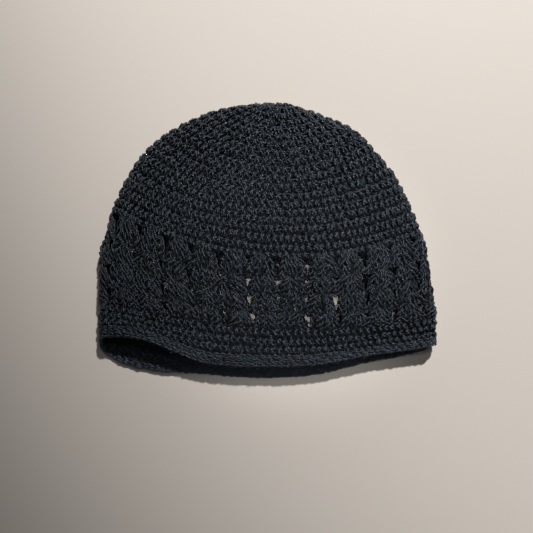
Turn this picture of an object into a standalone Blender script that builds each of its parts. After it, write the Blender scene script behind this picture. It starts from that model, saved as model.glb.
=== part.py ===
"""A crochet kufi cap lying on its side, opening towards -Y and crown towards +Y, in metres with +Z up.

The cap is one fabric worked in the round, so all of its pieces are cut from one closed surface. The
surface is a stack of loops, one for each height of the cap, from the middle of the crown down to the rim.
Each loop lies half on the table and half above it, with a rounded fold at its left and right end. The
fabric's thickness is then laid to both sides of that surface.

Places on the cap have two coordinates:
  along   0 in the middle of the crown, 1 at the openwork, 2 below the openwork and 3 at the rim's edge
  around  0 at the right fold, 0.25 on top, 0.5 at the left fold and 0.75 against the table
"""

import bmesh
import bpy
import numpy as np

# The flattened cap, measured over the outside of the fabric.
FLAT_WIDTH = 0.2230
FLAT_DEPTH = 0.1865
PUFF_HEIGHT = 0.0285

# The fabric.
WALL = 0.0030
FLOOR_PRESS = 0.0002
PIECE_GAP = 0.0007

# The openwork band: fans in columns, with a drop-shaped gap beside each.
SHELL_COLUMNS = 24
SHELL_ROWS = 4
SHELL_PUFF = 0.0011
ROOT_PUFF_SHARE = 0.35
FIRST_GAP_COLUMN = 0.54
GAP_TOP_WIDTH = 0.0034
GAP_FOOT_WIDTH = 0.0019
GAP_LENGTH = 0.0050
GAP_HEAD_MARGIN = 0.0007

# Where each piece begins and ends, in the coordinate along the cap.
CROWN_END = 1.0
SHELLS_END = 2.0
EDGING_START = 2.68
RIM_END = 3.0

# How finely the smooth pieces are faceted.
FACETS_AROUND = 56
FOLD_CROWDING = 0.62
CROWN_FACETS_ALONG = 15
RIM_FACETS_ALONG = 3
EDGING_FACETS_ALONG = 2
FAN_FACETS = 3
LOOP_SAMPLES = 1440
LENGTH_SAMPLES = 60
NORMAL_STEP = 0.004
SMALLEST_LENGTH = 1e-12
SMOOTH_UP_TO_DEGREES = 50

# How fast the lower wall's bow leaves the folds. 1 would be a plain parabola.
TABLE_BOW_POWER = 0.75

# One row for each loop. x is a share of half the flat width from the middle line, y a share of the flat
# depth from the rim's far edge to the crown's fold, and the heights are shares of the puff height. The left
# and right ends are where the loop crosses the outline. Its middle crosses the middle line at top_y on the
# upper wall and at table_y on the lower wall. fold_height is the height of the two ends.
SECTION_COLUMNS = (
    "along", "left_x", "left_y", "right_x", "right_y", "top_y", "table_y",
    "top_height", "table_height", "fold_height",
)
SECTIONS = (
    (0.00, 0.061, 1.000, 0.061, 1.000, 1.000, 1.000, 0.260, 0.260, 0.260),
    (0.05, -0.004, 1.000, 0.125, 0.995, 0.996, 0.987, 0.470, 0.070, 0.262),
    (0.10, -0.069, 0.999, 0.186, 0.986, 0.975, 0.958, 0.620, 0.000, 0.265),
    (0.14, -0.134, 0.996, 0.246, 0.975, 0.949, 0.927, 0.690, 0.000, 0.270),
    (0.24, -0.260, 0.984, 0.364, 0.950, 0.890, 0.870, 0.785, 0.000, 0.275),
    (0.38, -0.443, 0.948, 0.532, 0.903, 0.800, 0.784, 0.885, 0.000, 0.270),
    (0.52, -0.612, 0.894, 0.663, 0.823, 0.709, 0.697, 0.950, 0.000, 0.260),
    (0.66, -0.757, 0.820, 0.778, 0.733, 0.617, 0.609, 0.990, 0.000, 0.245),
    (0.81, -0.858, 0.724, 0.858, 0.633, 0.524, 0.520, 0.995, 0.000, 0.228),
    (0.95, -0.936, 0.618, 0.923, 0.529, 0.432, 0.432, 0.935, 0.000, 0.212),
    (1.14, -0.958, 0.538, 0.948, 0.454, 0.372, 0.379, 0.845, 0.000, 0.200),
    (1.39, -0.994, 0.456, 0.966, 0.378, 0.312, 0.321, 0.750, 0.000, 0.190),
    (1.89, -0.998, 0.292, 0.994, 0.228, 0.193, 0.190, 0.560, 0.000, 0.172),
    (2.39, -1.000, 0.207, 1.000, 0.171, 0.116, 0.095, 0.435, 0.000, 0.165),
    (3.00, -0.998, 0.116, 1.000, 0.116, 0.041, 0.000, 0.370, 0.000, 0.160),
)

# One row for each place where the fabric lies out of its smooth form. side is +1 on the upper wall and -1
# on the lower one. The middle of the place is at along and across, where across runs from -1 at the left
# fold to +1 at the right one. lift is a share of the puff height, and pull is a share of the flat depth,
# towards the crown.
RUMPLE_COLUMNS = ("side", "along", "along_reach", "across", "across_reach", "lift", "pull")
RUMPLES = (
    (+1, 3.05, 1.30, -0.76, 0.46, 0.130, 0.050),
    (+1, 3.00, 1.05, 0.62, 0.40, -0.030, 0.010),
    (+1, 1.79, 0.90, -0.28, 0.42, -0.050, 0.000),
    (+1, 1.43, 0.80, 0.48, 0.40, 0.045, 0.000),
    (+1, 0.59, 0.38, -0.50, 0.40, -0.045, 0.000),
    (+1, 0.43, 0.33, 0.30, 0.45, 0.030, 0.000),
    (-1, 3.00, 0.98, 0.62, 0.44, 0.000, 0.020),
    (-1, 3.00, 0.98, -0.84, 0.56, 0.000, -0.023),
)

YARN_BLACK = (0.012, 0.014, 0.018, 1.0)
YARN_ROUGHNESS = 0.85


def clear_scene():
    """Removes every object of the open scene."""
    for thing in list(bpy.data.objects):
        bpy.data.objects.remove(thing, do_unlink=True)


def column(table, names, name):
    """One named column of a table, as an array."""
    return np.array([row[names.index(name)] for row in table])


def through(at, stations, values):
    """A smooth curve through the values at the stations: a cubic between each two, with matching slopes."""
    slopes = np.gradient(values, stations)
    i = np.clip(np.searchsorted(stations, at) - 1, 0, len(stations) - 2)
    step = stations[i + 1] - stations[i]
    t = (at - stations[i]) / step
    start = values[i] * (1 - 3 * t**2 + 2 * t**3) + slopes[i] * step * (t - 2 * t**2 + t**3)
    end = values[i + 1] * (3 * t**2 - 2 * t**3) + slopes[i + 1] * step * (t**3 - t**2)
    return start + end


def section_at(along):
    """The loop's measures in metres at these places along the cap, for the middle of the fabric."""
    stations = column(SECTIONS, SECTION_COLUMNS, "along")
    measures = {}
    for name in SECTION_COLUMNS[1:]:
        shares = through(along, stations, column(SECTIONS, SECTION_COLUMNS, name))
        if name.endswith("_x"):
            measures[name] = shares * (FLAT_WIDTH - WALL) / 2
        elif name.endswith("_y"):
            measures[name] = shares * (FLAT_DEPTH - WALL / 2) - FLAT_DEPTH / 2
        else:
            measures[name] = WALL / 2 - FLOOR_PRESS + shares * (PUFF_HEIGHT - WALL)
    return measures


def bump(distance):
    """1 in the middle, falling smoothly to 0 at a distance of 1 and beyond."""
    return np.cos(np.clip(distance, -1, 1) * np.pi / 2) ** 2


def rumple(points, along, across, side, rise):
    """Moves the points by the rows of RUMPLES. rise keeps the folds where they are."""
    for row in RUMPLES:
        place = dict(zip(RUMPLE_COLUMNS, row))
        share = bump((along - place["along"]) / place["along_reach"])
        share = share * bump((across - place["across"]) / place["across_reach"]) * rise
        share = np.where(side == place["side"], share, 0.0)
        points[..., 1] += share * place["pull"] * FLAT_DEPTH
        points[..., 2] += share * place["lift"] * PUFF_HEIGHT


def loops(along):
    """A finely sampled closed loop of the fabric's middle for each place along the cap.

    A point's share across is the cosine of an angle that runs once round the loop. Its height leaves the
    fold as a quarter circle and then follows a low dome on the upper wall, or the table on the lower one.
    Its depth sags from the ends to the middle as a bow.
    """
    along = np.atleast_1d(along)[:, None]
    angle = np.linspace(0, 2 * np.pi, LOOP_SAMPLES + 1)[None, :]
    across = np.cos(angle)
    on_top = np.sin(angle) >= 0
    part = section_at(along)

    half_width = (part["right_x"] - part["left_x"]) / 2
    end_x = (part["right_x"] + part["left_x"]) / 2 + across * half_width
    end_y = (part["right_y"] + part["left_y"]) / 2 + across * (part["right_y"] - part["left_y"]) / 2
    middle_y = (part["right_y"] + part["left_y"]) / 2

    fold_drop = part["fold_height"] - part["table_height"]
    radius = np.maximum(np.minimum(fold_drop, half_width), SMALLEST_LENGTH)
    inside = np.clip(1 - half_width * (1 - np.abs(across)) / radius, 0, 1)
    rise = np.sqrt(1 - inside**2)
    climb = part["top_height"] - part["fold_height"]
    fold_climb = np.minimum(fold_drop, climb)
    bow = 1 - across**2

    top_y = end_y + (part["top_y"] - middle_y) * bow
    table_y = end_y + (part["table_y"] - middle_y) * bow**TABLE_BOW_POWER
    top_z = part["fold_height"] + fold_climb * rise + (climb - fold_climb) * bow
    table_z = part["fold_height"] - fold_drop * rise
    points = np.stack(
        [end_x, np.where(on_top, top_y, table_y), np.where(on_top, top_z, table_z)], axis=-1
    )
    rumple(points, along, across, np.where(on_top, 1, -1), rise)
    return points


def cap_surface(along, around):
    """Points of the fabric's middle. along has one value per row, around has a row of values for each.

    Each wall takes half of around, and equal steps of it are equal lengths of fabric on that wall.
    """
    half = LOOP_SAMPLES // 2
    rows = []
    for loop, shares in zip(loops(along), around):
        steps = np.linalg.norm(np.diff(loop, axis=0), axis=1)
        steps = np.maximum(steps, SMALLEST_LENGTH)
        top, table = np.cumsum(steps[:half]), np.cumsum(steps[half:])
        known = np.concatenate([[0.0], top / top[-1] / 2, 0.5 + table / table[-1] / 2])
        wanted = np.mod(shares, 1.0)
        rows.append(np.stack([np.interp(wanted, known, loop[:, i]) for i in range(3)], axis=-1))
    return np.array(rows)


def normals(along, around):
    """Unit vectors out of the cap at these places, from the two directions of the surface."""
    across_step = cap_surface(along, around + NORMAL_STEP) - cap_surface(along, around - NORMAL_STEP)
    along_step = cap_surface(along + NORMAL_STEP, around) - cap_surface(along - NORMAL_STEP, around)
    out = np.cross(across_step, along_step)
    return out / np.linalg.norm(out, axis=-1, keepdims=True)


def both_sides(along, around, lift=0.0):
    """The outer and inner face of the fabric. The table presses flat whatever would reach below it."""
    middle = cap_surface(along, around)
    out = normals(along, around)
    lift = np.broadcast_to(lift, around.shape)[..., None]
    outer = middle + out * (lift + WALL / 2)
    inner = middle + out * (lift - WALL / 2)
    pressed = np.maximum(-outer[..., 2], 0)
    outer[..., 2] += pressed
    inner[..., 2] = np.maximum(inner[..., 2], np.where(pressed > 0, WALL - FLOOR_PRESS, -1.0))
    return outer, inner


def wall_faces(rows, columns, holes, closed_start):
    """Faces of a wall made from an outer grid and an inner grid of rows x columns points.

    The grids close round their columns. holes holds the (row, column) of each quad that is left out, and
    its four sides are lined. closed_start ends the wall in one point at its first row, where the real
    fabric closes.
    """
    inner = rows * columns

    def corner(row, col):
        return row * columns + col % columns

    faces = []
    for row in range(rows - 1):
        for col in range(columns):
            quad = [corner(row, col), corner(row, col + 1), corner(row + 1, col + 1), corner(row + 1, col)]
            if (row, col) not in holes:
                faces.append(quad)
                faces.append([inner + point for point in reversed(quad)])
                continue
            for i in range(4):
                a, b = quad[i], quad[(i + 1) % 4]
                faces.append([b, a, inner + a, inner + b])
    for row in [rows - 1] if closed_start else [0, rows - 1]:
        for col in range(columns):
            a, b = corner(row, col), corner(row, col + 1)
            faces.append([a, b, inner + b, inner + a])
    if closed_start:
        outer_tip, inner_tip = 2 * inner, 2 * inner + 1
        for col in range(columns):
            a, b = corner(0, col), corner(0, col + 1)
            faces.append([outer_tip, b, a])
            faces.append([inner_tip, inner + a, inner + b])
    return faces


def yarn_material(name):
    """Matt black cotton yarn."""
    material = bpy.data.materials.new(name)
    material.use_nodes = True
    shader = material.node_tree.nodes["Principled BSDF"]
    shader.inputs["Base Color"].default_value = YARN_BLACK
    shader.inputs["Roughness"].default_value = YARN_ROUGHNESS
    shader.inputs["Metallic"].default_value = 0.0
    return material


def add_piece(name, cap, points, faces):
    """One named closed solid with its own material, carried by the cap's empty."""
    mesh = bpy.data.meshes.new(name)
    mesh.from_pydata([tuple(point) for point in points], [], faces)
    shape = bmesh.new()
    shape.from_mesh(mesh)
    bmesh.ops.recalc_face_normals(shape, faces=shape.faces)
    shape.to_mesh(mesh)
    shape.free()
    mesh.shade_smooth()
    mesh.set_sharp_from_angle(angle=np.radians(SMOOTH_UP_TO_DEGREES))
    mesh.materials.append(yarn_material(name + "_yarn"))
    piece = bpy.data.objects.new(name, mesh)
    piece.parent = cap
    bpy.context.scene.collection.objects.link(piece)
    return piece


def length_along(start, end):
    """Length of fabric on the upper wall's middle line between two places along the cap."""
    on_top = np.full((LENGTH_SAMPLES, 1), 0.25)
    line = cap_surface(np.linspace(start, end, LENGTH_SAMPLES), on_top)[:, 0]
    return np.linalg.norm(np.diff(line, axis=0), axis=1).sum()


def trimmed(start, end):
    """The two places moved in by half of the gap that touching pieces keep."""
    shift = PIECE_GAP / 2 / length_along(start, end) * (end - start)
    first = start + shift if start > 0 else start
    last = end - shift if end < RIM_END else end
    return first, last


def facet_lines():
    """Places round the cap for the smooth pieces' facets, closer together at the two folds."""
    even = np.arange(FACETS_AROUND) / FACETS_AROUND
    return even - FOLD_CROWDING * np.sin(4 * np.pi * even) / (4 * np.pi)


def add_plain_band(name, cap, start, end, facets_along):
    """A band of plain rounds between two places along the cap."""
    along = np.linspace(*trimmed(start, end), facets_along + 1)
    around = np.tile(facet_lines(), (len(along), 1))
    outer, inner = both_sides(along, around)
    faces = wall_faces(len(along), FACETS_AROUND, set(), False)
    return add_piece(name, cap, np.concatenate([outer.reshape(-1, 3), inner.reshape(-1, 3)]), faces)


def add_crown(cap):
    """The closed dome of plain rounds. A fan of faces closes its small first ring at the middle."""
    first_ring = CROWN_END / CROWN_FACETS_ALONG / 2
    _, last = trimmed(0.0, CROWN_END)
    along = np.linspace(first_ring, last, CROWN_FACETS_ALONG)
    crowding = np.clip(2 * along, 0, 1)[:, None]
    even = np.arange(FACETS_AROUND) / FACETS_AROUND
    around = even + crowding * (facet_lines() - even)
    outer, inner = both_sides(along, around)
    middle = loops(0.0)[0, 0]
    out = (outer[0] - inner[0]).mean(axis=0)
    out = out / np.linalg.norm(out)
    tips = np.array([middle + out * WALL / 2, middle - out * WALL / 2])
    faces = wall_faces(len(along), FACETS_AROUND, set(), True)
    return add_piece("crown", cap, np.concatenate([outer.reshape(-1, 3), inner.reshape(-1, 3), tips]), faces)


def add_shell_band(cap):
    """The openwork: each fan puffs out a little, and a drop-shaped gap goes through beside each.

    A gap is one quad left out of the grid, wide between the fans' roots and narrow where the fans meet.
    """
    first, last = trimmed(CROWN_END, SHELLS_END)
    row_length = length_along(first, last) / SHELL_ROWS
    loop = loops((first + last) / 2)[0]
    fan_width = np.linalg.norm(np.diff(loop, axis=0), axis=1).sum() / SHELL_COLUMNS

    head = GAP_HEAD_MARGIN / row_length
    foot = head + GAP_LENGTH / row_length
    row_lines = [0.0]
    half_widths = [GAP_TOP_WIDTH / 2]
    for row in range(SHELL_ROWS):
        row_lines += [row + head, row + foot, row + (foot + 1) / 2]
        half_widths += [GAP_TOP_WIDTH / 2, GAP_FOOT_WIDTH / 2, GAP_FOOT_WIDTH / 2]
    row_lines.append(float(SHELL_ROWS))
    half_widths.append(GAP_FOOT_WIDTH / 2)
    row_lines = np.array(row_lines)
    half_shares = np.array(half_widths) / fan_width

    around = []
    for half in half_shares:
        fan_lines = half + (1 - 2 * half) * np.arange(FAN_FACETS) / FAN_FACETS
        cell = np.concatenate([[-half], fan_lines])
        around.append((np.arange(SHELL_COLUMNS)[:, None] + FIRST_GAP_COLUMN + cell[None, :]).ravel())
    across_fan = np.array(around) - FIRST_GAP_COLUMN
    around = np.array(around) / SHELL_COLUMNS
    along = first + (last - first) * row_lines / SHELL_ROWS

    puff_across = np.sin(np.pi * across_fan) ** 2
    puff_along = ROOT_PUFF_SHARE + (1 - ROOT_PUFF_SHARE) * np.sin(np.pi * row_lines) ** 2
    puff_along[[0, -1]] = 0.0
    outer, inner = both_sides(along, around, SHELL_PUFF * puff_across * puff_along[:, None])

    cell_width = FAN_FACETS + 1
    holes = {
        (3 * row + 1, cell_width * col) for row in range(SHELL_ROWS) for col in range(SHELL_COLUMNS)
    }
    faces = wall_faces(len(along), around.shape[1], holes, False)
    points = np.concatenate([outer.reshape(-1, 3), inner.reshape(-1, 3)])
    return add_piece("shell_band", cap, points, faces)


def build():
    """Makes the cap's four pieces."""
    clear_scene()
    cap = bpy.data.objects.new("crochet_kufi_cap", None)
    bpy.context.scene.collection.objects.link(cap)
    add_crown(cap)
    add_shell_band(cap)
    add_plain_band("rim_band", cap, SHELLS_END, EDGING_START, RIM_FACETS_ALONG)
    add_plain_band("edging", cap, EDGING_START, RIM_END, EDGING_FACETS_ALONG)


build()
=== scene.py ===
# %% [markdown]
# # A black crochet cap, stitch by stitch
#
# The cap is one long cotton yarn, hooked in rounds from the middle of the crown down to the rim. It lies
# flattened on a pale floor. A bump map would give a flat grey speckle here, because the eye reads crochet
# by its shadows: light catches the loops and the pits between them stay black. So the yarn itself is
# modelled. Every round is one closed tube that runs through all of its stitches, front and back, as the
# real yarn does.

import bpy
import numpy as np
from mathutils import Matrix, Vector


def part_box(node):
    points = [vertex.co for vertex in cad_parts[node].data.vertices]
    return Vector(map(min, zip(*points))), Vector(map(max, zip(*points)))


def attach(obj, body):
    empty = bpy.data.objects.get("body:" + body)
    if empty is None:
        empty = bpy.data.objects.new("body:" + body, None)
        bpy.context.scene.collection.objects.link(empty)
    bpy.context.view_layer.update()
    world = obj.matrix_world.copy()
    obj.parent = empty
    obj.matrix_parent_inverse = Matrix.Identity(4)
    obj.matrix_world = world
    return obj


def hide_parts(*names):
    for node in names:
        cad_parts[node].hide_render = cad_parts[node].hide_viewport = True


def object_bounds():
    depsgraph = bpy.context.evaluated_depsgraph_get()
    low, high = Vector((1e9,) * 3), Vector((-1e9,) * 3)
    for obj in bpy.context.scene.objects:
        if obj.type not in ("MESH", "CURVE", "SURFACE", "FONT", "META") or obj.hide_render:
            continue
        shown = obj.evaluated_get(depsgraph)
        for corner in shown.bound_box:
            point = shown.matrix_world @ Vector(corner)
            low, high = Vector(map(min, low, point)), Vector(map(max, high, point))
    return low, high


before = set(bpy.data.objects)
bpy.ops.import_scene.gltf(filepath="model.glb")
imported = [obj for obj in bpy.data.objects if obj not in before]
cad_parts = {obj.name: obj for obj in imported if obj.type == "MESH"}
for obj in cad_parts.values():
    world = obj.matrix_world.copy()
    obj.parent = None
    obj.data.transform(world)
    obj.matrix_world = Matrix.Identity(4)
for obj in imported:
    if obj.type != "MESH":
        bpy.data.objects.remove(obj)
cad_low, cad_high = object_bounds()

MM = 0.001
print("the frame's box in mm:", [round(size / MM, 1) for size in cad_high - cad_low])

# %% [markdown]
# ## The form that the yarn follows
#
# Before any stitch there is the form of the fabric: a closed dome, folded flat. It could be sculpted, but
# the frame's solids already fix it, so the same rule is used here. The form is a stack of loops. Each
# loop lies half on the floor and half above it, with a rounded fold at its left and right end. A place on
# the cap then has two coordinates: `along`, from 0 in the middle of the crown to 3 at the rim, and
# `around`, a share of one lap. The three driving sizes are read from the frame, and the table holds
# shares of them.

# %% Driving sizes
WALL = 3.0 * MM
FLOOR_PRESS = 0.2 * MM
RIM_END = 3.0
edging_low, edging_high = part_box("edging")
crown_low, crown_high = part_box("crown")
FLAT_WIDTH = edging_high.x - edging_low.x
FLAT_DEPTH = cad_high.y - cad_low.y
PUFF_HEIGHT = crown_high.z - crown_low.z + FLOOR_PRESS
print("flat width, depth and height in mm:",
      [round(size / MM, 1) for size in (FLAT_WIDTH, FLAT_DEPTH, PUFF_HEIGHT)])

# %% Sections and rumples, in shares of those sizes
SECTION_COLUMNS = (
    "along", "left_x", "left_y", "right_x", "right_y", "top_y", "table_y",
    "top_height", "table_height", "fold_height",
)
SECTIONS = (
    (0.00, 0.061, 1.000, 0.061, 1.000, 1.000, 1.000, 0.260, 0.260, 0.260),
    (0.05, -0.004, 1.000, 0.125, 0.995, 0.996, 0.987, 0.470, 0.070, 0.262),
    (0.10, -0.069, 0.999, 0.186, 0.986, 0.975, 0.958, 0.620, 0.000, 0.265),
    (0.14, -0.134, 0.996, 0.246, 0.975, 0.949, 0.927, 0.690, 0.000, 0.270),
    (0.24, -0.260, 0.984, 0.364, 0.950, 0.890, 0.870, 0.785, 0.000, 0.275),
    (0.38, -0.443, 0.948, 0.532, 0.903, 0.800, 0.784, 0.885, 0.000, 0.270),
    (0.52, -0.612, 0.894, 0.663, 0.823, 0.709, 0.697, 0.950, 0.000, 0.260),
    (0.66, -0.757, 0.820, 0.778, 0.733, 0.617, 0.609, 0.990, 0.000, 0.245),
    (0.81, -0.858, 0.724, 0.858, 0.633, 0.524, 0.520, 0.995, 0.000, 0.228),
    (0.95, -0.936, 0.618, 0.923, 0.529, 0.432, 0.432, 0.935, 0.000, 0.212),
    (1.14, -0.958, 0.538, 0.948, 0.454, 0.372, 0.379, 0.845, 0.000, 0.200),
    (1.39, -0.994, 0.456, 0.966, 0.378, 0.312, 0.321, 0.750, 0.000, 0.190),
    (1.89, -0.998, 0.292, 0.994, 0.228, 0.193, 0.190, 0.560, 0.000, 0.172),
    (2.39, -1.000, 0.207, 1.000, 0.171, 0.116, 0.095, 0.435, 0.000, 0.165),
    (3.00, -0.998, 0.116, 1.000, 0.116, 0.041, 0.000, 0.370, 0.000, 0.160),
)
RUMPLE_COLUMNS = ("side", "along", "along_reach", "across", "across_reach", "lift", "pull")
RUMPLES = (
    (+1, 3.05, 1.30, -0.76, 0.46, 0.130, 0.050),
    (+1, 3.00, 1.05, 0.62, 0.40, -0.030, 0.010),
    (+1, 1.79, 0.90, -0.28, 0.42, -0.050, 0.000),
    (+1, 1.43, 0.80, 0.48, 0.40, 0.045, 0.000),
    (+1, 0.59, 0.38, -0.50, 0.40, -0.045, 0.000),
    (+1, 0.43, 0.33, 0.30, 0.45, 0.030, 0.000),
    (-1, 3.00, 0.98, 0.62, 0.44, 0.000, 0.020),
    (-1, 3.00, 0.98, -0.84, 0.56, 0.000, -0.023),
)
print(len(SECTIONS), "sections and", len(RUMPLES), "rumples")


# %% The measures of one loop
def column(table, names, name):
    """One named column of a table, as an array."""
    return np.array([row[names.index(name)] for row in table])


def through(at, stations, values):
    """A smooth curve through the values.

    Between two stations it is a cubic in t, from 0 to 1, that starts and ends with the values' mean slopes.
    """
    slopes = np.gradient(values, stations)
    i = np.clip(np.searchsorted(stations, at) - 1, 0, len(stations) - 2)
    step = stations[i + 1] - stations[i]
    t = (at - stations[i]) / step
    start = values[i] * (1 - 3 * t**2 + 2 * t**3) + slopes[i] * step * (t - 2 * t**2 + t**3)
    end = values[i + 1] * (3 * t**2 - 2 * t**3) + slopes[i + 1] * step * (t**3 - t**2)
    return start + end


def section_at(along):
    """The loop's measures in metres.

    An x is a share of half the flat width, a y is a share of the flat depth, and a height is a share of the
    puffed height.
    """
    stations = column(SECTIONS, SECTION_COLUMNS, "along")
    measures = {}
    for name in SECTION_COLUMNS[1:]:
        shares = through(along, stations, column(SECTIONS, SECTION_COLUMNS, name))
        if name.endswith("_x"):
            measures[name] = shares * (FLAT_WIDTH - WALL) / 2
        elif name.endswith("_y"):
            measures[name] = shares * (FLAT_DEPTH - WALL / 2) - FLAT_DEPTH / 2
        else:
            measures[name] = WALL / 2 - FLOOR_PRESS + shares * (PUFF_HEIGHT - WALL)
    return measures


print("the lowest loop's measures in mm:",
      {name: round(float(value) / MM, 1) for name, value in section_at(RIM_END).items()})

# %% The loops
TABLE_BOW_POWER = 0.75
SMALLEST_LENGTH = 1e-12  # metres: keeps a division by a step or a radius of nothing possible


def bump(distance):
    """cos squared: 1 in the middle, falling smoothly to 0 at a distance of 1 and beyond."""
    return np.cos(np.clip(distance, -1, 1) * np.pi / 2) ** 2


def loops(along, samples):
    """Closed loops of the fabric's middle, one row for each place along.

    across = cos(angle). Height leaves the fold as a quarter circle, sqrt(1 - inside^2), then follows the
    low dome 1 - across^2 on the upper wall or the floor on the lower one. Depth sags as a bow.
    """
    along = np.atleast_1d(along)[:, None]
    angle = np.linspace(0, 2 * np.pi, samples + 1)[None, :]
    across = np.cos(angle)
    on_top = np.sin(angle) >= 0
    part = section_at(along)
    half_width = (part["right_x"] - part["left_x"]) / 2
    end_x = (part["right_x"] + part["left_x"]) / 2 + across * half_width
    middle_y = (part["right_y"] + part["left_y"]) / 2
    end_y = middle_y + across * (part["right_y"] - part["left_y"]) / 2
    fold_drop = part["fold_height"] - part["table_height"]
    radius = np.maximum(np.minimum(fold_drop, half_width), SMALLEST_LENGTH)
    inside = np.clip(1 - half_width * (1 - np.abs(across)) / radius, 0, 1)
    rise = np.sqrt(1 - inside**2)
    climb = part["top_height"] - part["fold_height"]
    fold_climb = np.minimum(fold_drop, climb)
    bow = 1 - across**2
    top_y = end_y + (part["top_y"] - middle_y) * bow
    table_y = end_y + (part["table_y"] - middle_y) * bow**TABLE_BOW_POWER
    top_z = part["fold_height"] + fold_climb * rise + (climb - fold_climb) * bow
    table_z = part["fold_height"] - fold_drop * rise
    points = np.stack([end_x, np.where(on_top, top_y, table_y), np.where(on_top, top_z, table_z)], axis=-1)
    for row in RUMPLES:
        place = dict(zip(RUMPLE_COLUMNS, row))
        share = bump((along - place["along"]) / place["along_reach"])
        share = share * bump((across - place["across"]) / place["across_reach"]) * rise
        share = np.where(np.where(on_top, 1, -1) == place["side"], share, 0.0)
        points[..., 1] += share * place["pull"] * FLAT_DEPTH
        points[..., 2] += share * place["lift"] * PUFF_HEIGHT
    return points


RIM_SAMPLES = 360
rim_loop = loops(RIM_END, RIM_SAMPLES)[0]
print("the rim's loop in mm:", np.round(np.ptp(rim_loop, axis=0) / MM, 1))

# %% [markdown]
# ## A chart of the fabric
#
# A stitch is easiest to describe in the fabric's own terms: so far along, so far around, so far out of
# it. To turn that into a point in space quickly, for hundreds of thousands of points at once, the form is
# sampled on a fine grid with an outward normal at each point. `on_cap` then reads the grid between its
# points.

# %% Sample the form on a grid
ALONG_STEPS = 360
AROUND_STEPS = 960
LOOP_SAMPLES = 2880
POLE_ROWS = 4


def cap_chart():
    """Points and outward unit normals of the form, rows along and columns around.

    Equal steps of `around` are equal lengths of fabric on each wall. normal = across step x along step. At
    the middle of the crown the loops shrink to a point, so the first rows blend into their mean normal.
    """
    half = LOOP_SAMPLES // 2
    around = np.arange(AROUND_STEPS) / AROUND_STEPS
    rows = []
    for loop in loops(np.linspace(0, RIM_END, ALONG_STEPS + 1), LOOP_SAMPLES):
        steps = np.maximum(np.linalg.norm(np.diff(loop, axis=0), axis=1), SMALLEST_LENGTH)
        top, table = np.cumsum(steps[:half]), np.cumsum(steps[half:])
        known = np.concatenate([[0.0], top / top[-1] / 2, 0.5 + table / table[-1] / 2])
        rows.append(np.stack([np.interp(around, known, loop[:, i]) for i in range(3)], axis=-1))
    points = np.array(rows)
    across_step = np.roll(points, -1, axis=1) - np.roll(points, 1, axis=1)
    normals = np.cross(across_step, np.gradient(points, axis=0))
    normals[0] = normals[1]
    normals /= np.linalg.norm(normals, axis=-1, keepdims=True)
    pole = normals[POLE_ROWS].mean(axis=0)
    share = (np.arange(POLE_ROWS) / POLE_ROWS)[:, None, None]
    normals[:POLE_ROWS] = pole * (1 - share) + normals[:POLE_ROWS] * share
    return points, normals


CHART_POINTS, CHART_NORMALS = cap_chart()
print("chart:", CHART_POINTS.shape[0], "rows of", CHART_POINTS.shape[1], "points")


# %% Read the chart
def on_cap(along, around, out):
    """Points `out` metres off the fabric's middle, and the normals there. Bilinear between grid points."""
    row = np.clip(along, 0, RIM_END) / RIM_END * ALONG_STEPS
    i = np.minimum(row.astype(int), ALONG_STEPS - 1)
    down = (row - i)[..., None]
    col = np.mod(around, 1.0) * AROUND_STEPS
    j = col.astype(int) % AROUND_STEPS
    side = (col - np.floor(col))[..., None]
    k = (j + 1) % AROUND_STEPS

    def read(grid):
        upper = grid[i, j] * (1 - side) + grid[i, k] * side
        lower = grid[i + 1, j] * (1 - side) + grid[i + 1, k] * side
        return upper * (1 - down) + lower * down

    normals = read(CHART_NORMALS)
    normals /= np.linalg.norm(normals, axis=-1, keepdims=True)
    beyond = np.maximum(along - RIM_END, 0)[..., None] * ALONG_STEPS / RIM_END
    last_step = (CHART_POINTS[-1] - CHART_POINTS[-2])[j]
    return read(CHART_POINTS) + normals * np.asarray(out)[..., None] + last_step * beyond, normals


start_of_crown, facing = on_cap(np.zeros(1), np.zeros(1), np.zeros(1))
print("the middle of the crown in mm:", np.round(start_of_crown[0] / MM, 1), "facing", np.round(facing[0], 2))

# %% [markdown]
# ## The yarn
#
# The yarn is a tube swept along a path. Blender's curves can do this with a bevel, but one array per
# round is faster and gives each point its length along the yarn, which the material needs for the twist
# of the plies. A round of n stitches is a ring of control points, joined by a Catmull-Rom curve. The
# tube's cross-section must not spin as it goes, so its first direction is carried from station to
# station, each time made square to the path again. Over each stitch the small mismatch that is left is
# spread evenly. A strand is about two pixels wide in the photo's view, so four sides are enough: smooth
# shading rounds them.

# %% Sweep a ring of yarn
SIDES = 4


def smooth_ring(knots, lap, samples):
    """A closed Catmull-Rom curve through the knots. `lap` is added to a knot each time the ring is passed.

    From knot b to knot c it is a cubic that has half the step from a to c as its slope at b, and half the
    step from b to d as its slope at c.
    """
    t = np.arange(samples) * len(knots) / samples
    i = np.floor(t).astype(int)
    f = (t - i)[:, None]
    a, b, c, d = (knots[(i + k) % len(knots)] + ((i + k) // len(knots))[:, None] * lap for k in (-1, 0, 1, 2))
    return b + f * (c - a) / 2 + f**2 * (a - 2.5 * b + 2 * c - d / 2) + f**3 * (1.5 * (b - c) + (d - a) / 2)


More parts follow.
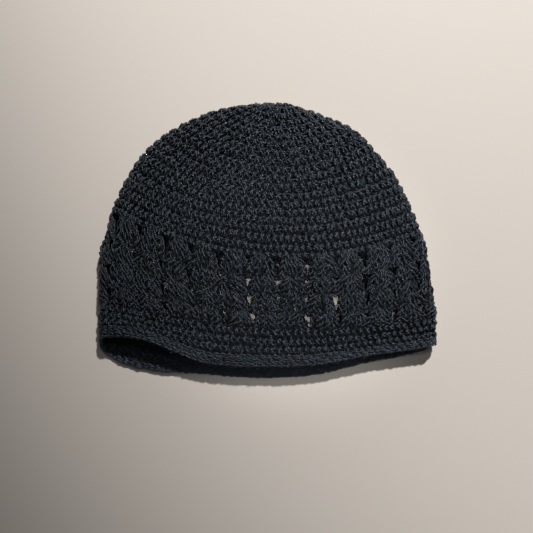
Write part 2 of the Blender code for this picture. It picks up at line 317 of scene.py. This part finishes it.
def carried_directions(tangents, starts):
    """Directions square to each tangent, for blocks x stations, carried from the start of each block.

    direction -> direction - (direction . tangent) tangent. The angle that is missing to the next block's
    start is shared out over the block's stations.
    """
    count = tangents.shape[1]
    following = np.roll(tangents[:, 0], -1, axis=0)
    direction = starts - (starts * tangents[:, 0]).sum(-1, keepdims=True) * tangents[:, 0]
    direction /= np.linalg.norm(direction, axis=-1, keepdims=True)
    first = direction
    found = [first]
    for station in range(1, count + 1):
        tangent = tangents[:, station] if station < count else following
        direction = direction - (direction * tangent).sum(-1, keepdims=True) * tangent
        direction = direction / np.linalg.norm(direction, axis=-1, keepdims=True)
        found.append(direction)
    wanted = np.roll(first, -1, axis=0)
    sine = (np.cross(found[-1], wanted) * following).sum(-1)
    missing = np.arctan2(sine, (found[-1] * wanted).sum(-1))
    directions = np.stack(found[:-1], axis=1)
    turn = (missing[:, None] * np.arange(count) / count)[..., None]
    return directions * np.cos(turn) + np.cross(tangents, directions) * np.sin(turn)


def sweep(path, normals, stitches, radius):
    """The tube round a closed path: its points, quads and UVs.

    point = path + radius (cos a . direction + sin a . tangent x direction). U is the length along the yarn in
    millimetres, and V goes once round it.
    """
    tangents = np.roll(path, -1, axis=0) - np.roll(path, 1, axis=0)
    tangents /= np.linalg.norm(tangents, axis=-1, keepdims=True)
    blocks = tangents.reshape(stitches, -1, 3)
    directions = carried_directions(blocks, normals.reshape(blocks.shape)[:, 0]).reshape(-1, 3)
    sideways = np.cross(tangents, directions)
    angle = 2 * np.pi * np.arange(SIDES) / SIDES
    ring = directions[:, None] * np.cos(angle)[:, None] + sideways[:, None] * np.sin(angle)[:, None]
    points = path[:, None] + ring * np.broadcast_to(radius, len(path))[:, None, None]
    stations = np.arange(len(path))[:, None]
    corner = np.arange(SIDES)[None, :]
    following = (stations + 1) % len(path)
    quads = np.stack([
        stations * SIDES + corner,
        stations * SIDES + (corner + 1) % SIDES,
        following * SIDES + (corner + 1) % SIDES,
        following * SIDES + corner,
    ], axis=-1).reshape(-1, 4)
    steps = np.linalg.norm(np.roll(path, -1, axis=0) - path, axis=-1) / MM
    start = (np.cumsum(steps) - steps)[:, None] + 0 * corner
    end = start + steps[:, None]
    low, high = corner / SIDES + 0 * stations, (corner + 1) / SIDES + 0 * stations
    corners = ((start, low), (start, high), (end, high), (end, low))
    uv = np.stack([np.stack(pair, axis=-1) for pair in corners], axis=-2).reshape(-1, 4, 2)
    return points.reshape(-1, 3), quads, uv


print("a strand is a tube of", SIDES, "sides")

# %% Make one mesh of many rings
FLOOR_CLEARANCE = 0.05 * MM


def add_yarn(name, rings):
    """One mesh object from several swept rings. The floor presses flat whatever would reach below it."""
    first = np.cumsum([0] + [len(points) for points, _, _ in rings])
    points = np.concatenate([points for points, _, _ in rings])
    points[:, 2] = np.maximum(points[:, 2], FLOOR_CLEARANCE)
    quads = np.concatenate([quads + start for (_, quads, _), start in zip(rings, first)])
    uv = np.concatenate([uv for _, _, uv in rings])
    mesh = bpy.data.meshes.new(name)
    mesh.vertices.add(len(points))
    mesh.vertices.foreach_set("co", points.astype(np.float32).ravel())
    mesh.loops.add(quads.size)
    mesh.loops.foreach_set("vertex_index", quads.astype(np.int32).ravel())
    mesh.polygons.add(len(quads))
    mesh.polygons.foreach_set("loop_start", np.arange(0, quads.size, 4, dtype=np.int32))
    mesh.update(calc_edges=True)
    mesh.uv_layers.new(name="yarn").data.foreach_set("uv", uv.astype(np.float32).ravel())
    mesh.shade_smooth()
    piece = bpy.data.objects.new(name, mesh)
    bpy.context.scene.collection.objects.link(piece)
    print(name, "has", 2 * len(quads), "triangles")
    return piece


print("the yarn stays", FLOOR_CLEARANCE / MM, "mm off the floor")

# %% [markdown]
# ## The plain stitch
#
# In a plain crochet stitch the yarn comes down the back, goes through under the round before it, rises in
# front as one leg, turns over at the top, comes down as the other leg, goes back through the same hole
# and rises again. Then it makes a link of the chain that lies along the top of the round, and the next
# stitch starts. The table gives that path: `across` in stitch widths, `down` in round heights, `out` in
# millimetres off the fabric's middle. One leg is crossed by a slanting turn of yarn, as in a half double
# crochet. The legs stand proud and the chain lies deep, so a dark furrow runs between two rounds. Real
# stitches are never quite alike, so each knot is moved a little by seeded noise. Inside the fabric,
# behind the legs, wavy bars of the same yarn stand for the parts of the loops that are hidden there, and
# keep the floor from showing between the legs.

# %% Path of one plain stitch
PLAIN_STITCH = (  # across, down, out
    (0.16, 0.92, -0.80),
    (0.32, 0.42, -0.75),
    (0.46, 0.00, -0.40),
    (0.43, 0.13, 0.45),
    (0.36, 0.34, 0.85),
    (0.26, 0.62, 1.05),
    (0.25, 0.84, 0.30),
    (0.46, 0.98, -0.75),
    (0.67, 0.84, 0.30),
    (0.71, 0.70, 0.95),
    (0.60, 0.52, 1.25),
    (0.30, 0.36, 1.20),
    (0.10, 0.30, 0.20),
    (0.40, 0.30, -0.85),
    (0.78, 0.34, 0.10),
    (0.71, 0.20, 0.85),
    (0.58, 0.07, 0.30),
    (0.55, -0.01, -0.50),
    (0.68, 0.42, -0.85),
    (0.86, 0.95, -0.85),
    (1.06, 1.02, -0.70),
    (1.38, 0.99, -0.60),
    (1.46, 1.01, -0.80),
    (1.30, 1.03, -0.95),
)
SAMPLES_PER_STITCH = 24
YARN_RADIUS = 0.80 * MM
print("one plain stitch has", SAMPLES_PER_STITCH * SIDES, "faces")

# %% Uneven hands
SEED = 2408
STITCH_JITTER = (0.065, 0.055, 0.17)  # of each knot, in the units of the table
STITCH_SHIFT = (0.07, 0.035, 0.14)  # of a whole stitch
ROUND_WANDER = 0.07  # of a round, in round heights
ROUND_WAVES = 7
RADIUS_JITTER = 0.07  # of the yarn's thickness
RADIUS_WAVES = 60
random = np.random.default_rng(SEED)


def wander(count, waves, size):
    """A slow wave round a closed lap: a sum of sines with whole numbers of waves and random phases."""
    lap = np.arange(count) / count
    turns = np.arange(1, waves + 1)
    phases = random.uniform(0, 2 * np.pi, waves)
    return size * np.sin(2 * np.pi * turns * lap[:, None] + phases).sum(axis=1) / np.sqrt(waves)


print("a knot strays by about", STITCH_JITTER[-1], "mm out of the fabric")

# %% Hook one round
BARS = (0.10, 0.45, 0.82)  # how far down the round each bar lies
BAR_SAMPLES = 4
BAR_DEPTH = -0.85  # millimetres off the fabric's middle
BAR_WAVE = (0.07, 0.28)  # half the wave's height, down the round and out of the fabric
BAR_RADIUS = 0.80 * MM


def swept_round(knots, stitches, samples, start, end, phase, radius):
    """One closed strand through knots given as (across, down, out), between two places along the cap."""
    path = smooth_ring(knots, np.array([stitches, 0, 0]), samples * stitches)
    along = start + (end - start) * path[:, 1]
    points, normals = on_cap(along, phase - path[:, 0] / stitches, path[:, 2] * MM)
    radius = radius * (1 + wander(len(path), RADIUS_WAVES, RADIUS_JITTER))
    return sweep(points, normals, stitches, radius)


def yarn_round(stitch, stitches, start, end, phase, radius, bars=BARS, bar_radius=BAR_RADIUS):
    """A round: its looping yarn, and the bars that lie inside the fabric behind the legs and close it."""
    table = np.array(stitch)
    knots = table[None] + random.normal(0, STITCH_JITTER, (stitches, len(table), 3))
    knots[..., 0] += np.arange(stitches)[:, None]
    knots += random.normal(0, STITCH_SHIFT, (stitches, 1, 3))
    drift = wander(stitches, ROUND_WAVES, ROUND_WANDER)
    knots[..., 1] += drift[:, None]
    rings = [swept_round(knots.reshape(-1, 3), stitches, SAMPLES_PER_STITCH, start, end, phase, radius)]
    for down in bars:
        bar = np.array([(side, down + sign * BAR_WAVE[0], BAR_DEPTH + sign * BAR_WAVE[1])
                        for side, sign in ((0.0, -1), (0.5, 1))])
        knots = bar[None] + random.normal(0, STITCH_JITTER, (stitches, 2, 3))
        knots[..., 0] += np.arange(stitches)[:, None]
        knots[..., 1] += drift[:, None]
        rings.append(swept_round(knots.reshape(-1, 3), stitches, BAR_SAMPLES, start, end, phase, bar_radius))
    return rings


print("behind the legs lie", len(BARS), "bars, with", BAR_SAMPLES * SIDES, "faces a stitch each")

# %% [markdown]
# ## The crown
#
# The crown starts with 6 stitches in the middle and grows by 6 in each round, as any flat disc in crochet
# does, until it has 108. Three last rounds keep that number. It is 21 rounds high. The fabric is one
# piece, but a mesh stays easier to handle below 200,000 triangles, so the rounds are shared out over
# three objects.

# %% Hook the crown
CROWN_ROUNDS = 21
GROWTH = 6
MOST_STITCHES = 108
INNER_ROUNDS = 12
MIDDLE_ROUNDS = 17
ROUND_SHIFT = 0.618  # stitches that each round is turned on from the one before


def crown_rounds(first, last):
    """Rounds `first` to `last` of the crown, counted from 1 in the middle."""
    rings = []
    for number in range(first, last + 1):
        stitches = min(GROWTH * number, MOST_STITCHES)
        start, end = (number - 1) / CROWN_ROUNDS, number / CROWN_ROUNDS
        rings += yarn_round(PLAIN_STITCH, stitches, start, end, ROUND_SHIFT * number / stitches, YARN_RADIUS)
    return rings


crown_inner = add_yarn("crown_inner_rounds", crown_rounds(1, INNER_ROUNDS))
crown_middle = add_yarn("crown_middle_rounds", crown_rounds(INNER_ROUNDS + 1, MIDDLE_ROUNDS))
crown_outer = add_yarn("crown_outer_rounds", crown_rounds(MIDDLE_ROUNDS + 1, CROWN_ROUNDS))

# %% [markdown]
# ## The openwork
#
# Below the crown come four rows of fans, 24 to a row, each fan of seven tall stitches worked into the
# middle of the fan before it. Where the sides of two fans have not yet met, an eyelet stays open, and
# that gives the 96 gaps. The post of a tall stitch is two strands that twist round each other, with a
# link of chain at its foot. Straight strands would make the fans look pleated. So the twist is drawn by a
# formula, with another start and another number of turns for every post, and it is wide enough to reach
# over the next post. That gives the fans their chevrons. `across` is in millimetres off the post's own
# middle line here, and `down` is a share of it.

# %% Knots of the tall stitches
UP_THE_BACK = (  # across, down, out
    (-0.55, 0.95, -0.60),
    (-0.70, 0.55, -0.95),
    (-0.05, 0.02, -0.50),
)
ROUND_THE_TIP = (
    (0.00, 1.03, -0.10),
)
DOWN_THE_BACK = (
    (0.05, 0.02, -0.50),
    (0.70, 0.55, -0.95),
    (0.55, 0.95, -0.50),
    (0.90, 1.05, 0.60),
    (1.70, 1.02, 0.75),
    (2.00, 1.05, -0.20),
)
LEG_DOWN = (0.06, 0.145, 0.23, 0.315, 0.40, 0.485, 0.57, 0.655, 0.74, 0.825, 0.91)
LEG_APART = 1.40  # millimetres, as the next two: how far a strand swings to either side
LEG_OUT = 0.40
LEG_DEPTH = 0.80
LEG_TURNS = (1.3, 2.1)
LEG_PINCH = 0.20
TALL_JITTER = (0.20, 0.020, 0.20)


def tall_stitches(count):
    """Knots of a number of tall stitches: one row for each, with across, down and out.

    Strand: across = apart cos(a), out = middle + depth sin(a), a = start + 2 pi turns down. The second
    strand has a + pi. At the root the posts are pinched together.
    """
    down = np.array(LEG_DOWN)
    turns = random.uniform(*LEG_TURNS, (count, 1)) * random.choice((-1, 1), (count, 1))
    angle = random.uniform(0, 2 * np.pi, (count, 1)) + 2 * np.pi * turns * down

    def strand(angle):
        return np.stack([
            LEG_APART * (1 - LEG_PINCH * (1 - down)) * np.cos(angle), down + 0 * angle,
            LEG_OUT + LEG_DEPTH * np.sin(angle),
        ], axis=-1)

    def same(table):
        return np.broadcast_to(np.array(table), (count, len(table), 3))

    first, second = strand(angle), strand(angle + np.pi)[:, ::-1]
    knots = np.concatenate([
        same(UP_THE_BACK), first, same(ROUND_THE_TIP), second, same(DOWN_THE_BACK),
    ], axis=1)
    return knots + random.normal(0, TALL_JITTER, knots.shape)


print("one tall stitch has", 2 * len(LEG_DOWN) + len(UP_THE_BACK + ROUND_THE_TIP + DOWN_THE_BACK), "knots")

# %% The sizes of a fan
SHELL_COLUMNS = 24
SHELL_ROWS = 4
STITCHES_PER_FAN = 7
FIRST_GAP_COLUMN = 0.54  # columns from the right fold to the first gap
ROOT_HALF_WIDTH = 3.8 * MM
ROOT_VARIES = 0.8 * MM
TIP_HALF_WIDTH = 8.0 * MM
ROOT_DOWN = -0.17  # in row heights, as the two tips and what they vary by
SIDE_TIP_DOWN = 0.97
MIDDLE_TIP_DOWN = 1.12
TIP_VARIES = 0.035
FAN_OPENING = 2.8
FAN_PUFF = 1.5 * MM
PUFF_FALL = 0.8  # share of the puff that is lost at a fan's sides
FAN_BOW = 1.2 * MM
FAN_TILT = 1.1 * MM
TILT_PIVOT = 0.35  # how far down a fan the tilt turns it
TILT_FALL = 0.6  # share of the tilt that is lost at a fan's sides
POST_BOW = 0.45 * MM
POST_TILT = 0.50 * MM
POST_LIFT = 0.25 * MM
LEFT_SHEAR = 3.6 * MM
LEFT_SHEAR_PLACE = (0.46, 0.17)  # its middle and its reach, as shares of a lap
TALL_SAMPLES = 36
FAN_YARN_RADIUS = 0.60 * MM
print("a fan is", round(2 * ROOT_HALF_WIDTH / MM, 1), "mm wide at its root and",
      round(2 * TIP_HALF_WIDTH / MM, 1), "mm at its tips")


# %% Hook the fans
def lap_length(along):
    """Length of the loop at each place along, read from the chart's rows."""
    steps = np.linalg.norm(np.roll(CHART_POINTS, -1, axis=1) - CHART_POINTS, axis=-1).sum(axis=1)
    return np.interp(along, np.linspace(0, RIM_END, ALONG_STEPS + 1), steps)


def by_fan(size):
    """One random value for each fan, given to all of its stitches."""
    return np.repeat(random.normal(0, size, SHELL_COLUMNS), STITCHES_PER_FAN)[:, None]


def fan_row(row):
    """One row of fans, swept as one closed tube.

    A stitch's place in its fan is f, from -1 to 1, and p is the share of the way down it. Its middle line is
    x = f (root + (tip - root) (1 - (1 - p)^opening)), which leaves the narrow root quickly and then runs down
    to the tip. The tips make an arc, lowest in the middle of the fan. Each fan and each post is bowed and
    tilted a little by seeded noise. Near the left fold the fabric is pulled askew, so there the tips shift
    sideways.
    """
    stitches = SHELL_COLUMNS * STITCHES_PER_FAN
    knots = tall_stitches(stitches)
    fan = np.repeat(np.arange(SHELL_COLUMNS), STITCHES_PER_FAN)[:, None]
    f = np.tile(np.linspace(-1, 1, STITCHES_PER_FAN), SHELL_COLUMNS)[:, None]
    share = np.clip(knots[..., 1], 0, None)
    hill = np.sin(np.pi * np.clip(share, 0, 1))
    opened = 1 - (1 - np.clip(share, 0, 1)) ** FAN_OPENING
    root = ROOT_HALF_WIDTH + by_fan(ROOT_VARIES)
    middle = f * (root + (TIP_HALF_WIDTH - root) * opened)
    tip = SIDE_TIP_DOWN + (MIDDLE_TIP_DOWN - SIDE_TIP_DOWN) * (1 - f**2)
    tip = tip + random.normal(0, TIP_VARIES, (stitches, 1))
    along = 1 + (row + ROOT_DOWN + (tip - ROOT_DOWN) * share) / SHELL_ROWS
    lift = FAN_PUFF * hill * (1 - PUFF_FALL * f**2) + random.normal(0, POST_LIFT, (stitches, 1))
    lift = lift + knots[..., 2] * MM
    centre = (FIRST_GAP_COLUMN + 0.5 - 1 - fan) / SHELL_COLUMNS
    place, reach = LEFT_SHEAR_PLACE
    shear = LEFT_SHEAR * bump((np.mod(centre, 1.0) - place) / reach)
    bow = by_fan(FAN_BOW) + random.normal(0, POST_BOW, (stitches, 1))
    tilt = by_fan(FAN_TILT) + random.normal(0, POST_TILT, (stitches, 1)) + shear
    askew = tilt * (share - TILT_PIVOT) * (1 - TILT_FALL * np.abs(f))
    across = middle + knots[..., 0] * MM + bow * hill + askew
    ring = np.stack([across, along, lift, centre + 0 * along], axis=-1)
    path = smooth_ring(ring.reshape(-1, 4), np.array([0, 0, 0, -1.0]), TALL_SAMPLES * stitches)
    points, normals = on_cap(path[:, 1], path[:, 3] - path[:, 0] / lap_length(path[:, 1]), path[:, 2])
    radius = FAN_YARN_RADIUS * (1 + wander(len(path), RADIUS_WAVES, RADIUS_JITTER))
    return sweep(points, normals, stitches, radius)


shell_band = add_yarn("shell_band_fans", [fan_row(row) for row in range(SHELL_ROWS)])

# %% [markdown]
# ## The rim and its edge
#
# Three plain rounds of 108 stitches draw the openwork together. The cap ends in a smooth edge, worked as
# slip stitches: each shows as one link of a chain that lies flat along the round.

# %% Hook the rim and the edge
RIM_START = 2.0
EDGING_START = 2.68
RIM_ROUNDS = 3
RIM_BARS = (0.02, 0.26, 0.50, 0.76)
RIM_BAR_RADIUS = 0.95 * MM
EDGE_ROUNDS = 3
SLIP_RADIUS = 0.80 * MM
SLIP_STITCH = (  # across, down, out
    (0.00, 0.50, -0.70),
    (0.22, 0.50, 0.10),
    (0.50, 0.76, 0.65),
    (0.95, 0.82, 0.65),
    (1.22, 0.60, 0.20),
    (1.30, 0.50, -0.20),
    (1.20, 0.40, 0.20),
    (0.95, 0.18, 0.65),
    (0.50, 0.24, 0.65),
    (0.22, 0.46, 0.00),
    (0.20, 0.60, -0.70),
    (0.60, 0.40, -0.80),
)


def band_rounds(stitch, count, start, end, radius):
    """A number of equal rounds of 108 stitches between two places along the cap."""
    places = np.linspace(start, end, count + 1)
    rings = []
    for k in range(count):
        phase = ROUND_SHIFT * k / MOST_STITCHES
        rings += yarn_round(stitch, MOST_STITCHES, places[k], places[k + 1], phase, radius, RIM_BARS,
                            RIM_BAR_RADIUS)
    return rings


rim_rings = band_rounds(PLAIN_STITCH, RIM_ROUNDS, RIM_START, EDGING_START, YARN_RADIUS)
rim_band = add_yarn("rim_band_rounds", rim_rings)
edge_rings = band_rounds(SLIP_STITCH, EDGE_ROUNDS, EDGING_START, RIM_END, SLIP_RADIUS)
edging = add_yarn("edging_rounds", edge_rings)

# %% [markdown]
# ## Mercerised cotton, dyed black
#
# The yarn is combed cotton, spun in several plies and dyed black. Mercerising gives it a slight silk. So
# the base is a near black with a little blue, with a broad soft highlight, which is what makes each loop
# glint, and a trace of sheen where fibres stand at the edge. The plies are drawn as a slanting wave in
# the yarn's own UVs: U is millimetres along the yarn, so the twist keeps its real pitch in every stitch.

# %% One node at a time
def linear(code):
    """An sRGB hex value as linear red, green, blue and alpha 1."""
    shares = np.array([int(code[i:i + 2], 16) for i in (0, 2, 4)]) / 255
    low, high = shares / 12.92, ((shares + 0.055) / 1.055) ** 2.4
    return (*np.where(shares <= 0.04045, low, high), 1.0)


def add_node(tree, kind, settings, links=()):
    """Adds a node, sets its properties or inputs by name or number, and links its inputs.

    Each link is a triple: the input, the node that it comes from, and that node's output.
    """
    node = tree.nodes.new(kind)
    for name, value in settings.items():
        if isinstance(name, int) or name in node.inputs:
            node.inputs[name].default_value = value
        else:
            setattr(node, name, value)
    for name, source, output in links:
        found = next(socket for socket in source.outputs if output in (socket.name, socket.identifier))
        tree.links.new(found, node.inputs[name])
    return node


print("half of the sRGB scale is", round(float(linear("808080")[0]), 3), "of the light")

# %% The yarn's material
COLOUR_A, COLOUR_B = 6, 7  # the inputs of a Mix node that hold its two colours
PLIES = 3
TURN_LENGTH = 5.2  # millimetres along the yarn, as U is
PLY_DEPTH = 0.30 * MM
PLY_GROOVE_SHADE = {"From Min": 0.10, "From Max": 0.75}  # relief where the painted groove shade ends, and the open ply begins
FUZZ_SIZE = 0.9 * MM
FUZZ_DEPTH = 0.20 * MM
FUZZ_WEAR_AND_HIGHLIGHT = {"From Min": 0.50, "From Max": 0.80}  # fuzz where the lighter spots start, and where they are full: worn fibres and painted highlight
PATCH_SIZE = 9.0 * MM


def black_cotton(name, groove_painted_shade, shade, cool_shade, worn_and_highlight_shade):
    """Black mercerised cotton. Ply relief = |sin(pi (plies U / turn + plies V))|, seamless round the yarn.

    The grooves between the plies hold shadow, so they are painted darker: painted shade. Slow patches turn
    the black a little cooler, and fuzz about a millimetre wide breaks up the gloss and lightens the black in
    spots, partly as worn fibres and partly as painted highlight. Real fibres are far finer, and would not
    show.
    """
    material = bpy.data.materials.new(name)
    material.use_nodes = True
    tree = material.node_tree
    tree.nodes.clear()
    place = add_node(tree, "ShaderNodeTexCoord", {})
    yarn = add_node(tree, "ShaderNodeUVMap", {"uv_map": "yarn"})
    split = add_node(tree, "ShaderNodeSeparateXYZ", {}, [("Vector", yarn, "UV")])
    lengthwise = add_node(tree, "ShaderNodeMath", {"operation": "MULTIPLY", 1: np.pi * PLIES / TURN_LENGTH},
                          [(0, split, "X")])
    spiral = add_node(tree, "ShaderNodeMath", {"operation": "MULTIPLY_ADD", 1: np.pi * PLIES},
                      [(0, split, "Y"), (2, lengthwise, "Value")])
    wave = add_node(tree, "ShaderNodeMath", {"operation": "SINE"}, [(0, spiral, "Value")])
    ply = add_node(tree, "ShaderNodeMath", {"operation": "ABSOLUTE"}, [(0, wave, "Value")])
    fuzz = add_node(tree, "ShaderNodeTexNoise", {"Scale": 1 / FUZZ_SIZE, "Detail": 3.0, "Roughness": 0.65},
                    [("Vector", place, "Object")])
    patches = add_node(tree, "ShaderNodeTexNoise", {"Scale": 1 / PATCH_SIZE, "Detail": 2.0},
                       [("Vector", place, "Object")])
    tint = add_node(tree, "ShaderNodeMix", {
        "data_type": "RGBA", COLOUR_A: linear(shade), COLOUR_B: linear(cool_shade),
    }, [(0, patches, "Fac")])
    # Worn fibres and painted highlight: in the fuzz's spots the black turns lighter.
    rubbed_and_highlight_mask = add_node(tree, "ShaderNodeMapRange", FUZZ_WEAR_AND_HIGHLIGHT, [("Value", fuzz, "Fac")])
    worn_and_highlight = add_node(tree, "ShaderNodeMix", {"data_type": "RGBA", COLOUR_B: linear(worn_and_highlight_shade)},
                    [(0, rubbed_and_highlight_mask, "Result"), (COLOUR_A, tint, "Result_Color")])
    # Painted shade: where the ply relief is low, in the grooves, the colour goes to the darkest black.
    open_ply = add_node(tree, "ShaderNodeMapRange", PLY_GROOVE_SHADE, [("Value", ply, "Value")])
    colour = add_node(tree, "ShaderNodeMix", {"data_type": "RGBA", COLOUR_A: linear(groove_painted_shade)},
                      [(0, open_ply, "Result"), (COLOUR_B, worn_and_highlight, "Result_Color")])
    relief = add_node(tree, "ShaderNodeBump", {"Strength": 1.0, "Distance": PLY_DEPTH},
                      [("Height", ply, "Value")])
    rough = add_node(tree, "ShaderNodeBump", {"Strength": 0.6, "Distance": FUZZ_DEPTH},
                     [("Height", fuzz, "Fac"), ("Normal", relief, "Normal")])
    shader = add_node(tree, "ShaderNodeBsdfPrincipled", {
        "Roughness": 0.42, "Specular IOR Level": 0.70, "Specular Tint": linear("dae9ff"),
        "Sheen Weight": 0.03, "Sheen Roughness": 0.5,
    }, [("Base Color", colour, "Result_Color"), ("Normal", rough, "Normal")])
    add_node(tree, "ShaderNodeOutputMaterial", {}, [("Surface", shader, "BSDF")])
    return material


# 030405 is the painted shade in the ply grooves.
# 272d34 lightens the fuzz spots, partly as wear and partly as painted highlight.
yarn_finish = black_cotton("black_mercerised_cotton", "030405", "0d1115", "0b1317", "272d34")
print("materials:", [material.name for material in bpy.data.materials])

# %% [markdown]
# ## Which piece is which
#
# Each mesh stands for one of the frame's solids, which is hidden, moves with the root body, and takes the
# one yarn finish. The solid's material slot is listed beside it but not read.

# %% Tie the pieces to the frame
for piece, node, slot in (
    (crown_inner, "crown", "crown_yarn"),
    (crown_middle, "crown", "crown_yarn"),
    (crown_outer, "crown", "crown_yarn"),
    (shell_band, "shell_band", "shell_yarn"),
    (rim_band, "rim_band", "rim_yarn"),
    (edging, "edging", "edging_yarn"),
):
    piece.data.materials.append(yarn_finish)
    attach(piece, "root")
    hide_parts(node)
    print(piece.name, "stands for", node)

# %% [markdown]
# ## Floor, light and camera
#
# The floor is a plain pale surface. The main light stands high behind the crown, to the right, as a
# window would, so that every round throws a small shadow on the next. The edge of its pool crosses the
# lower left corner of the view, so the floor darkens softly there. A second, weak window and an even fill
# keep the dark side readable. A small lamp right over the camera shines straight down through the
# eyelets, so that the floor shows bright in them. The camera looks down steeply from the rim's side, at
# the photograph's angle.

# %% The floor
FLOOR_SIZE = 3.0
FLOOR_ROUGHNESS = 0.7
reach = FLOOR_SIZE / 2
floor_corners = [(-reach, -reach, 0), (reach, -reach, 0), (reach, reach, 0), (-reach, reach, 0)]
floor_mesh = bpy.data.meshes.new("floor")
floor_mesh.from_pydata(floor_corners, [], [(0, 1, 2, 3)])
floor = bpy.data.objects.new("floor", floor_mesh)
bpy.context.scene.collection.objects.link(floor)
floor_finish = bpy.data.materials.new("pale_matt_floor")
floor_finish.use_nodes = True
floor_shader = floor_finish.node_tree.nodes["Principled BSDF"]
floor_shader.inputs["Base Color"].default_value = linear("cfc6bc")
floor_shader.inputs["Roughness"].default_value = FLOOR_ROUGHNESS
floor_mesh.materials.append(floor_finish)
print("the floor is", FLOOR_SIZE, "m wide")


# %% The lights
def add_spot(name, place, aim, half_angle, blend, radius, power):
    """A round soft light at a place, turned to a point on the floor.

    Its pool fades out over the outer `blend` of the cone. The angle is in degrees and the power in watts.
    """
    lamp = bpy.data.lights.new(name, "SPOT")
    lamp.spot_size = 2 * np.radians(half_angle)
    lamp.spot_blend = blend
    lamp.shadow_soft_size = radius
    lamp.energy = power
    light = bpy.data.objects.new(name, lamp)
    light.location = place
    light.rotation_euler = (Vector(aim) - Vector(place)).to_track_quat("-Z", "Y").to_euler()
    bpy.context.scene.collection.objects.link(light)
    print(name, "gives", power, "W")


add_spot("window_light", place=(0.68, 1.94, 1.80), aim=(0.83, 1.15, 0.0),
         half_angle=35.0, blend=0.285, radius=0.07, power=415.0)
add_spot("second_window", place=(0.5, 1.0, 2.2), aim=(0.0, 0.0, 0.0),
         half_angle=40.0, blend=0.5, radius=0.14, power=15.0)
add_spot("lamp_over_the_camera", place=(0.0, -0.09, 0.62), aim=(0.015, -0.02, 0.0),
         half_angle=10.0, blend=0.9, radius=0.025, power=5.0)

# %% The even fill
FILL_COLOUR = (0.93, 0.96, 1.0, 1.0)
FILL_STRENGTH = 0.05
world = bpy.data.worlds.new("even_fill")
world.use_nodes = True
background = world.node_tree.nodes["Background"]
background.inputs["Color"].default_value = FILL_COLOUR
background.inputs["Strength"].default_value = FILL_STRENGTH
bpy.context.scene.world = world
bpy.context.scene.view_settings.view_transform = "Standard"
print("the fill has a strength of", FILL_STRENGTH)

# %% The camera
ELEVATION = np.radians(82.0)
LENS_MM = 36.0
SENSOR_MM = 36.0
DISTANCE = 363.8 * MM
CLIP_START = 10 * MM
TARGET = Vector((-0.6 * MM, -19.2 * MM, 0.0))
camera_data = bpy.data.cameras.new("camera")
camera_data.lens = LENS_MM
camera_data.sensor_width = SENSOR_MM
camera_data.clip_start = CLIP_START
camera = bpy.data.objects.new("camera", camera_data)
camera.location = TARGET + DISTANCE * Vector((0, -np.cos(ELEVATION), np.sin(ELEVATION)))
camera.rotation_euler = (np.pi / 2 - ELEVATION, 0, 0)
bpy.context.scene.collection.objects.link(camera)
bpy.context.scene.camera = camera
print("the camera stands", round(camera.location.z / MM), "mm over the floor")
